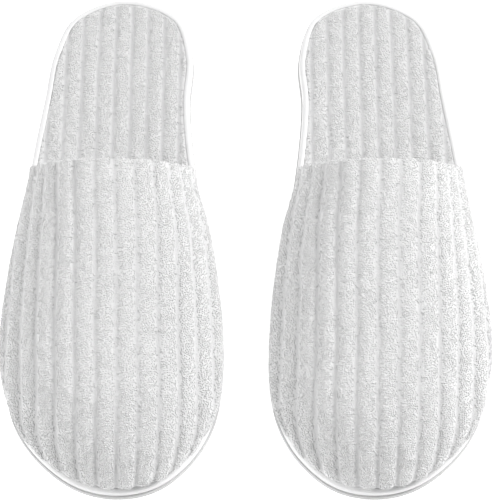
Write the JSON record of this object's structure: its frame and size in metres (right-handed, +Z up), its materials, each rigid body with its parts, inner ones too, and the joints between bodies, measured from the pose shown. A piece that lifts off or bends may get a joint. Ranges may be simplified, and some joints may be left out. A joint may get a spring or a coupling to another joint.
{
  "type": "spa slippers",
  "caption": "Pair of closed-toe spa slippers in white ribbed terry on flat foam soles, with a rolled satin binding and an open heel.",
  "frame": {"origin": "on the floor, midway between the two slippers along their length and across the pair", "axes": "+Z up, -Y towards the toes, +X towards the left slipper, so the right slipper is at -X"},
  "size_m": [0.2456, 0.2849, 0.048],
  "materials": {
    "vamp_terry": "matte",
    "footbed_terry": "matte",
    "satin_binding": "satin",
    "lining_cloth": "matte",
    "soft_foam": "matte",
    "paper_board": "matte",
    "eva_sole": "matte"
  },
  "bodies": {
    "left_slipper": {"left_outsole_front": "eva_sole", "left_insole_board_front": "paper_board", "left_footbed_foam_front": "soft_foam", "left_footbed_cover_front": "footbed_terry", "left_edge_binding_front": "satin_binding", "left_vamp_cover": "vamp_terry", "left_vamp_foam": "soft_foam", "left_vamp_lining": "lining_cloth"},
    "left_heel": {"left_outsole_heel": "eva_sole", "left_insole_board_heel": "paper_board", "left_footbed_foam_heel": "soft_foam", "left_footbed_cover_heel": "footbed_terry", "left_edge_binding_heel": "satin_binding"},
    "right_slipper": {"right_outsole_front": "eva_sole", "right_insole_board_front": "paper_board", "right_footbed_foam_front": "soft_foam", "right_footbed_cover_front": "footbed_terry", "right_edge_binding_front": "satin_binding", "right_vamp_cover": "vamp_terry", "right_vamp_foam": "soft_foam", "right_vamp_lining": "lining_cloth"},
    "right_heel": {"right_outsole_heel": "eva_sole", "right_insole_board_heel": "paper_board", "right_footbed_foam_heel": "soft_foam", "right_footbed_cover_heel": "footbed_terry", "right_edge_binding_heel": "satin_binding"}
  },
  "joints": [
    {"name": "left_heel_flex", "type": "hinge", "parent": "left_slipper", "child": "left_heel", "pos_m": [0.066, 0.03975, 0.009], "axis": [1, 0, 0], "range_deg": [0, 40], "stiffness_Nm_per_rad": 0.1},
    {"name": "right_heel_flex", "type": "hinge", "parent": "right_slipper", "child": "right_heel", "pos_m": [-0.066, 0.03975, 0.009], "axis": [1, 0, 0], "range_deg": [0, 40], "stiffness_Nm_per_rad": 0.1},
    {"name": "right_slipper_lift", "type": "slide", "parent": "left_slipper", "child": "right_slipper", "axis": [0, 0, 1], "range_m": [0, 0.12]}
  ]
}
